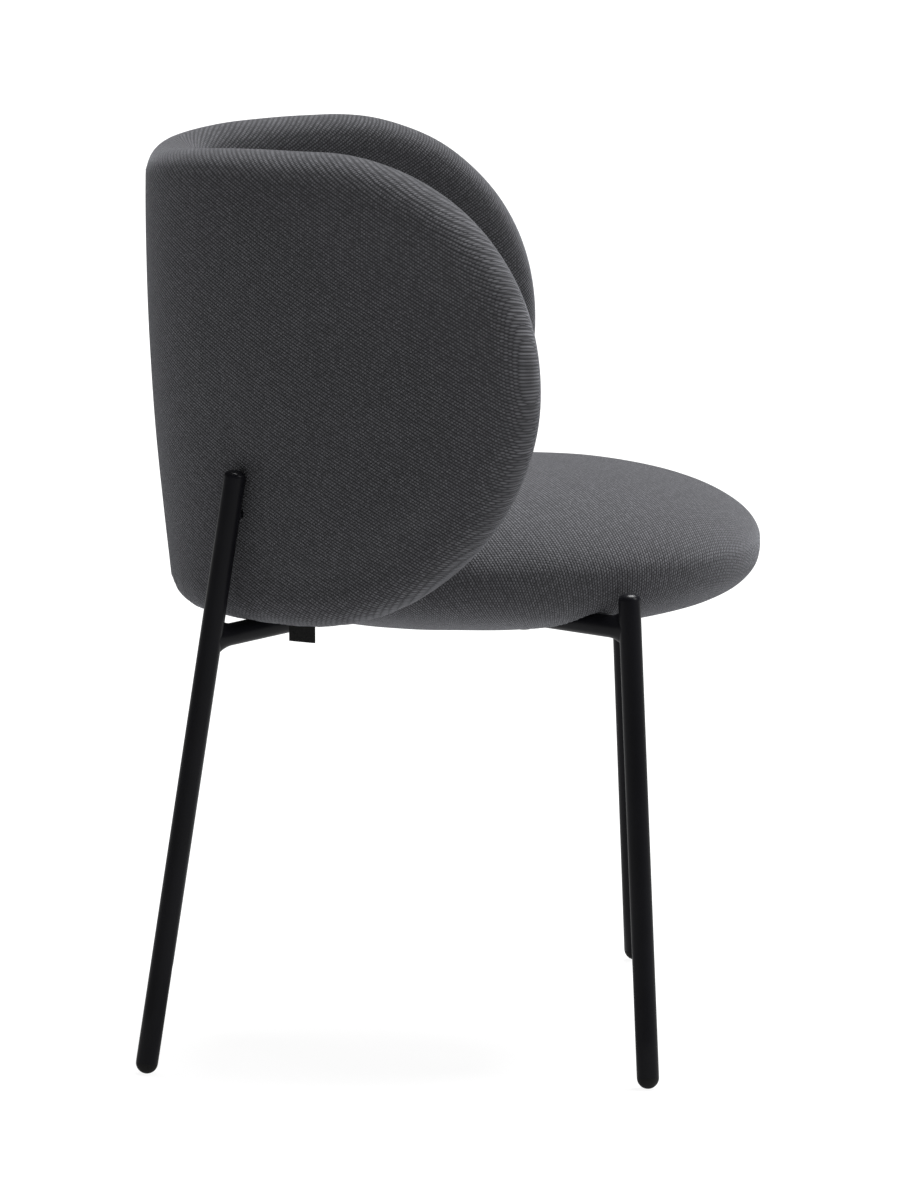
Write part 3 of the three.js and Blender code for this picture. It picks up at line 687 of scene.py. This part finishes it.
def plywood_material():
    made = Nodes("plywood", Roughness=0.7)
    place = made.place()
    grain_place = made.add("ShaderNodeMapping", {"Vector": place, "Scale": (6.0, 60.0, 60.0)})
    grain = made.noise(3.0, 5.0, grain_place.outputs[0])
    height = made.add("ShaderNodeSeparateXYZ", {"Vector": place}).outputs["Z"]
    ply = made.math("FRACT", made.math("DIVIDE", height, 3.0 * MM))
    layer = made.math("GREATER_THAN", ply, 0.5)
    tone = made.math("MULTIPLY_ADD", layer, 0.2, grain)
    color = made.ramp(tone, (0.25, (0.30, 0.18, 0.09)), (0.8, (0.56, 0.38, 0.21)))
    return made.finish(Base_Color=color, Normal=made.bump(grain, 0.15 * MM, 0.5))


def lining_material():
    made = Nodes("black_cloth", Roughness=0.9, Specular_IOR_Level=0.2)
    place = made.place()
    fibre = made.add("ShaderNodeMapping", {"Vector": place, "Scale": (1.0, 0.25, 1.0)})
    strands = made.noise(1400.0, 4.0, fibre.outputs[0])
    welds = made.add("ShaderNodeTexVoronoi", {"Vector": place, "Scale": 520.0})
    pits = made.math("SMOOTH_MIN", made.math("MULTIPLY", welds.outputs["Distance"], 2.2), 1.0, 0.3)
    color = made.ramp(strands, (0.3, 0.007), (0.75, 0.022))
    height = made.math("MULTIPLY_ADD", strands, 0.4, pits)
    return made.finish(Base_Color=color, Normal=made.bump(height, 0.12 * MM, 0.8))


def tag_material():
    made = Nodes("tag_weave", Roughness=0.75, Specular_IOR_Level=0.3)
    cloth = made.add("ShaderNodeAttribute", attribute_name="cloth").outputs["Vector"]
    parts = made.add("ShaderNodeSeparateXYZ", {"Vector": cloth})
    turns = 2 * math.pi / (TAG_THREAD * MM)
    warp = made.math("SINE", made.math("MULTIPLY", parts.outputs["X"], turns))
    weft = made.math("SINE", made.math("MULTIPLY", parts.outputs["Y"], turns))
    thread = made.math("MULTIPLY", warp, weft)
    tone = made.math("MULTIPLY_ADD", thread, 0.25, made.noise(500.0, 2.0, made.place()))
    color = made.ramp(tone, (0.2, 0.0035), (0.9, 0.012))
    return made.finish(Base_Color=color, Normal=made.bump(thread, 0.08 * MM, 0.6))


def floor_material():
    """Pale floor, lit from below like a light table, so that it stays white under the chair."""
    made = Nodes("studio_floor", Roughness=0.9, Specular_IOR_Level=0.1)
    cloud = made.noise(0.8, 2.0, made.place())
    mirrored = made.add("ShaderNodeLightPath").outputs["Is Glossy Ray"]
    glow = made.math("MULTIPLY_ADD", mirrored, -0.7, 0.93)
    color = made.ramp(cloud, (0.3, 0.15), (0.7, 0.155))
    white = made.ramp(cloud, (0.3, 0.99), (0.7, 1.0))
    return made.finish(Base_Color=color, Emission_Color=white, Emission_Strength=glow)


# ---------- Pieces ----------

def dress(piece, material, slot, *nodes):
    """Gives a finished piece its material and its place in the frame."""
    piece.data.materials.clear()
    piece.data.materials.append(material)
    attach(piece, "root")
    if nodes:
        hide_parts(*nodes)
    return piece


def set_cloth(piece, cloth):
    """The cloth's own coordinates at each point, in metres, for the weave to follow."""
    values = np.zeros((len(piece.data.vertices), 3), np.float32)
    values[:len(cloth), :2] = cloth * MM
    layer = piece.data.attributes.new("cloth", "FLOAT_VECTOR", "POINT")
    layer.data.foreach_set("vector", values.ravel())


def ripple(points, seed, size, depth):
    """Small smooth unevenness along Z and outwards, the same on each run."""
    random = np.random.default_rng(seed)
    total = np.zeros(len(points))
    for _ in range(6):
        direction = random.normal(size=3)
        direction /= np.linalg.norm(direction)
        total += np.sin(points @ direction * (2 * math.pi / size) * random.uniform(0.7, 1.5)
                        + random.uniform(0, 2 * math.pi))
    return depth * total / 6


def push_out(piece, amount):
    set_points(piece.data, points_of(piece.data) + normals_of(piece) * np.asarray(amount)[:, None])


def puckers(points, along):
    """Small puckers along the closing seam under the back pad."""
    below = BACK_Z - points[:, 2] / MM
    under = smooth_step((below - 150) / 40)
    short, long = (np.sin(2 * math.pi * along / length) for length in (11, 27.3))
    return under * (0.3 * short + 0.5 * long) * 0.5 * MM


def back_upholstery(material):
    rings, cloth = back_pad(BACK_START)
    pad = mesh_object("back_upholstery", rings.reshape(-1, 3) * MM, shut_back(rings))
    pad.data.flip_normals()
    set_cloth(pad, cloth.reshape(-1, 2))
    swell(pad, BACK_START, BACK_VOXEL, lambda points: np.zeros(len(points), bool))
    push_out(pad, ripple(points_of(pad.data), 3, 0.075, 0.35 * MM))
    push_out(pad, puckers(points_of(pad.data), np.abs(cloth.reshape(-1, 2)[:, 0])))

    # Tucked in over the bracket
    low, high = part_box("back_bracket")
    points = points_of(pad.data)
    beside = np.maximum(np.abs(points[:, 0]) - high.x - 2 * MM, 0)
    behind = np.maximum(points[:, 1] - high.y - 3 * MM, 0)
    points = press_roof(points, low.z + 12 * MM, beside, behind)
    set_points(pad.data, points)
    dress(pad, material, "fabric", "back_cover", "back_foam")


def seat_upholstery(material, seat_frame, bars):
    rings, cloth = seat_pad(SEAT_START)
    ends = np.array([(0, 0, SEAT_CROWN - SEAT_START), (0, 0, -COVER_DROP)])
    pad = ring_object("seat_upholstery", moved(rings, seat_frame), *moved(ends, seat_frame))
    set_cloth(pad, cloth.reshape(-1, 2))

    def on_board(points):
        local = moved(points, seat_frame.inverted())
        across = local[:, 0] / SEAT_HALF_WIDTH
        back = local[:, 1] / SEAT_HALF_DEPTH
        return (local[:, 2] < -BOARD_DROP + 6) & (np.hypot(across, back) < LIP_SHARE + 0.08)

    swell(pad, SEAT_START, SEAT_VOXEL, on_board)
    points = points_of(pad.data)
    push_out(pad, ripple(points, 11, 0.07, 0.3 * MM) * ~on_board(points))
    points = points_of(pad.data)
    for bar in bars:
        points = press_bar(points, bar)

    # Lifted over the bracket's strip, which lies against the board
    low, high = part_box("back_bracket")
    normal, underside = board_plane()
    board = (underside - normal[1] * points[:, 1]) / normal[2]
    beside = np.maximum(np.abs(points[:, 0]) - high.x - 2 * MM, 0)
    ahead = np.maximum(low.y - points[:, 1], 0)
    points = press_roof(points, board + 0.5 * MM, beside, ahead)
    set_points(pad.data, points)
    dress(pad, material, "fabric", "seat_cover", "seat_foam")


def turned_rings(profile, steps):
    """Rings about +Z through [radius, height] points, all in metres."""
    angle = np.linspace(0, 2 * math.pi, steps, endpoint=False)
    circle = np.stack([np.cos(angle), np.sin(angle)], axis=-1)
    return np.stack([np.column_stack([circle * r, np.full(steps, z)]) for r, z in profile])


def stand_along(start, end):
    """Matrix that stands a body built along +Z at start, pointing to end."""
    turn = (Vector(end) - Vector(start)).to_track_quat("Z", "Y").to_matrix().to_4x4()
    return Matrix.Translation(Vector(start)) @ turn


def turned_piece(name, profile, matrix, steps=64):
    """Lathed body whose profile starts and ends on the axis."""
    rings = turned_rings(profile[1:-1], steps)
    ends = np.array([(0, 0, profile[0][1]), (0, 0, profile[-1][1])])
    made = ring_object(name, moved(rings, matrix), *moved(ends, matrix))
    made.data.flip_normals()
    return made


def leg_piece(end, word, material):
    node = f"leg_{end}_{word}"
    foot, top = tube_axis(node)
    length = np.linalg.norm(top - foot)
    radius = TUBE_R * MM
    rise = CAP_RISE * MM
    profile = [(0, 0), (radius - 1.2 * MM, 0), (radius - 0.1 * MM, 0), (radius, 0.15 * MM)]
    profile += [(radius, length * i / 12) for i in range(1, 13)]
    shoulder = 14
    for i in range(1, shoulder + 1):
        angle = math.pi / 2 * i / shoulder
        profile.append((radius * math.cos(angle) ** 0.8, length + rise * math.sin(angle) ** 0.9))
    profile[-1] = (0, length + rise)
    leg = turned_piece(f"{end}_{word}_leg", profile, stand_along(foot, top))
    dress(leg, material, "black_paint", node, f"leg_cap_{end}_{word}")
    return foot, top


def glide_piece(end, word, foot, top, material):
    node = f"foot_glide_{end}_{word}"
    radius = TUBE_R * MM - 0.05 * MM
    profile = [(0, 0.6 * MM), (radius - 0.4 * MM, 0.6 * MM), (radius, 0.1 * MM), (radius, 0)]
    dome = 16
    for i in range(1, dome + 1):
        angle = math.pi / 2 * i / dome
        profile.append((radius * math.cos(angle), -radius * math.sin(angle)))
    profile[-1] = (0, -radius)
    glide = turned_piece(f"{end}_{word}_glide", profile[::-1], stand_along(foot, top), steps=48)
    points = points_of(glide.data)
    points[:, 2] = np.maximum(points[:, 2], 0)
    set_points(glide.data, points)
    dress(glide, material, "black_plastic", node)


def flank_distance(origins, direction, axis, radius):
    """How far rays travel from their origins along a direction to a tube's far flank."""
    start, end = axis
    along = (end - start) / np.linalg.norm(end - start)
    offset = origins - start
    across = offset - np.outer(offset @ along, along)
    ray = direction - (direction @ along) * along
    a = ray @ ray
    b = across @ ray
    c = (across * across).sum(1) - radius ** 2
    return (-b + np.sqrt(np.maximum(b * b - a * c, 0))) / a


# Distances from a tube's flank at which a bar's end has rings, for its weld fillet
WELD_RINGS = (0, 0.6, 1.4, 2.6, 4.2, 6.5, 9.5, 13.5)
BAR_STEPS = 48


def weld_rings(origin, inward, side, above, tube, flare):
    """Rings of a bar's end, shaped to the tube that it is welded to and flared towards it."""
    radius = TUBE_R * MM
    narrow = (radius - 0.1 * MM) / radius
    angle = np.linspace(0, 2 * math.pi, BAR_STEPS, endpoint=False)
    shape = np.outer(narrow * np.cos(angle), side) + np.outer(np.sin(angle), above)
    rings = []
    for distance in WELD_RINGS:
        grow = flare * np.abs(np.sin(angle)) * (1 - min(distance / (3 * flare), 1)) ** 2
        base = origin + shape * radius + np.outer(np.sin(angle) * grow * MM, above)
        reach = flank_distance(base, inward, tube, radius - 0.3 * MM)
        rings.append(base + np.outer(np.maximum(reach, 0) + distance * MM, inward))
    return rings


def bar_piece(name, node, ends, tubes, flares, material):
    """Cross bar with weld fillets, shaped to the tubes that it runs into."""
    start, end = ends
    run = end - start
    direction = run / np.linalg.norm(run)
    side = np.cross((0, 0, 1), direction)
    side /= np.linalg.norm(side)
    above = np.cross(direction, side)
    angle = np.linspace(0, 2 * math.pi, BAR_STEPS, endpoint=False)
    outward = np.outer(np.cos(angle), side) + np.outer(np.sin(angle), above)

    rings = weld_rings(start, direction, side, above, tubes[0], flares[0])
    for share in np.linspace(0.12, 0.88, 12):
        rings.append(start + run * share + outward * TUBE_R * MM)
    rings += weld_rings(end, -direction, side, above, tubes[1], flares[1])[::-1]
    inside = direction * 4 * MM
    made = ring_object(name, np.stack(rings), start + inside, end - inside)
    made.data.flip_normals()
    dress(made, material, "black_paint", node)


def nearest_on(axis, other):
    """The point of one line that is nearest to another line."""
    a, b = axis
    c, d = other
    u, v, w = b - a, d - c, a - c
    uu, uv, vv, uw, vw = u @ u, u @ v, v @ v, u @ w, v @ w
    t = (uv * vw - vv * uw) / (uu * vv - uv * uv)
    return a + t * u


def cross_bars(legs, material):
    long_ends = (nearest_on(legs["front", "left"], tube_axis("cross_bar_long")),
                 nearest_on(legs["rear", "right"], tube_axis("cross_bar_long")))
    mirror = np.array([-1, 1, 1])
    other = (long_ends[0] * mirror, long_ends[1] * mirror)
    crossing = nearest_on(long_ends, other)
    bar_piece("long_cross_bar", "cross_bar_long", long_ends,
              (legs["front", "left"], legs["rear", "right"]), (WELD_FLARE, WELD_FLARE),
              material)
    bar_piece("front_half_cross_bar", "cross_bar_front_half", (other[0], crossing),
              (legs["front", "right"], long_ends), (WELD_FLARE, CROSSING_FLARE), material)
    bar_piece("rear_half_cross_bar", "cross_bar_rear_half", (other[1], crossing),
              (legs["rear", "left"], long_ends), (WELD_FLARE, CROSSING_FLARE), material)
    return long_ends, other


# Rings of the dust sheet: share of the cushion's plan and drop below the board
DUST_RINGS = ((0.02, 0.75), (0.1, 0.75), (0.2, 0.75), (0.3, 0.75), (0.4, 0.75), (0.48, 0.75),
              (0.535, 0.75), (0.54, 1.1), (0.555, 1.1), (0.57, 1.1), (LIP_SHARE - 0.008, 0.8))


def dust_sheet(material, seat_frame):
    """Black lining under the seat board, with a folded edge."""
    across, back = seat_plan(160)
    rim = np.stack([SEAT_HALF_WIDTH * across, SEAT_HALF_DEPTH * back], axis=-1)
    rings = np.stack([
        np.column_stack([rim * share, np.full(len(rim), -BOARD_DROP - drop)])
        for share, drop in DUST_RINGS])
    rings[..., 2] += 0.18 * np.sin(rings[..., 0] / 17) * np.sin(rings[..., 1] / 23)
    middle = moved(np.array([[0, 0, -BOARD_DROP - DUST_RINGS[0][1]]]), seat_frame)[0]
    sheet = ring_object("dust_sheet", moved(rings, seat_frame), middle)
    dress(sheet, material, "black_cloth", "seat_dust_cloth")


def woven_tag(material):
    """Blank folded tag that hangs from the pad's bottom edge."""
    low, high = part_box("woven_tag")
    points = points_of(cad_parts["woven_tag"].data)
    middle = (points.min(0) + points.max(0)) / 2
    length_way = np.linalg.svd((points - middle)[:, :2], full_matrices=False)[2][0]
    thick_way = np.array([-length_way[1], length_way[0]])
    length = TAG_LENGTH * MM
    height = high.z - low.z + TAG_TUCK * MM
    fold = height - MM  # distance down the cloth at which it turns back up
    columns, rows = 24, 30
    places, cloth = [], []
    for j in range(rows + 1):
        down = j / rows * 2 * fold
        z = high.z + TAG_TUCK * MM - min(down, 2 * fold - down)
        layer = 1 if down > fold else -1
        gap = TAG_GAP * MM * layer * min(1, abs(down - fold) / (TAG_FOLD * MM))
        for i in range(columns + 1):
            s = (i / columns - 0.5) * length
            bow = 0.5 * MM * math.sin(math.pi * i / columns) * (high.z - z) / height
            place = middle[:2] + length_way * s + thick_way * (gap + bow)
            places.append((place[0], place[1], z))
            cloth.append((s / MM, down / MM))
    faces = []
    for j in range(rows):
        for i in range(columns):
            a = j * (columns + 1) + i
            faces.append((a, a + 1, a + columns + 2, a + columns + 1))
    tag = mesh_object("blank_tag", places, faces)
    set_cloth(tag, np.array(cloth))
    dress(tag, material, "black_cloth", "woven_tag")


def smooth_cad_node(node, material):
    """A CAD node that stays gets its material, welded points and smooth round faces."""
    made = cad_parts[node]
    made.data.materials.clear()
    made.data.materials.append(material)
    made.data.polygons.foreach_set("use_smooth", [True] * len(made.data.polygons))
    weld = made.modifiers.new("Weld", "WELD")
    weld.merge_threshold = 0.01 * MM
    split = made.modifiers.new("Edges", "EDGE_SPLIT")
    split.split_angle = math.radians(35)


# ---------- Studio ----------

def sun_light(name, direction, angle, strength):
    """Far soft light that comes from a direction."""
    data = bpy.data.lights.new(name, "SUN")
    data.angle = angle
    data.energy = strength
    light = bpy.data.objects.new(name, data)
    light.rotation_euler = Vector(direction).to_track_quat("Z", "Y").to_euler()
    bpy.context.scene.collection.objects.link(light)


def floor_disc():
    rings = turned_rings([(radius, 0) for radius in (0.5, 2, 8, 40, 400)], 96)
    floor = ring_object("floor", rings, np.zeros(3))
    floor.data.flip_normals()
    floor.data.materials.append(floor_material())
    floor.location.z = -0.4 * MM


def studio():
    """Soft suns and a white surround that the camera sees brighter than it lights."""
    sun_light("overhead", (0.30, -0.22, 1), math.radians(36), 6.5)
    sun_light("front_top", (-0.25, -1, 0.70), math.radians(25), 1.3)

    world = bpy.data.worlds.new("studio")
    bpy.context.scene.world = world
    world.use_nodes = True
    tree = world.node_tree
    seen = tree.nodes.new("ShaderNodeLightPath")
    backdrop = tree.nodes.new("ShaderNodeMix")
    backdrop.data_type = "FLOAT"
    tree.links.new(seen.outputs["Is Camera Ray"], backdrop.inputs["Factor"])
    backdrop.inputs["A"].default_value = 0.06
    backdrop.inputs["B"].default_value = 1.0
    tree.links.new(backdrop.outputs["Result"], tree.nodes["Background"].inputs["Strength"])
    tree.nodes["Background"].inputs["Color"].default_value = (1, 1, 1, 1)
    bpy.context.scene.view_settings.view_transform = "Standard"


def camera():
    data = bpy.data.cameras.new("camera")
    data.sensor_width = 36
    data.lens = CAMERA_LENS
    made = bpy.data.objects.new("camera", data)
    made.location = CAMERA_PLACE
    made.rotation_euler = (math.pi / 2 - CAMERA_PITCH, 0, -math.pi / 2)
    bpy.context.scene.collection.objects.link(made)
    bpy.context.scene.camera = made


def main():
    camera()
    floor_disc()
    studio()
    paint, plastic, zinc = paint_material(), plastic_material(), zinc_material()
    plywood, lining = plywood_material(), lining_material()
    legs = {}
    for end in ENDS:
        for word in SIDES:
            legs[end, word] = leg_piece(end, word, paint)
            glide_piece(end, word, *legs[end, word], plastic)
    bars = cross_bars(legs, paint)
    seat_frame = seat_matrix()
    back_upholstery(fabric_material("fabric_back", ROW_SLOPE["back"]))
    seat_upholstery(fabric_material("fabric_seat", ROW_SLOPE["seat"]), seat_frame, bars)
    dust_sheet(lining, seat_frame)
    woven_tag(tag_material())
    looks = {"seat_board": plywood, "back_panel": plywood}
    for node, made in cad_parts.items():
        if made.hide_render:
            continue
        look = looks.get(node, zinc)
        if node.startswith("back_boss"):
            look = paint
        smooth_cad_node(node, look)


main()
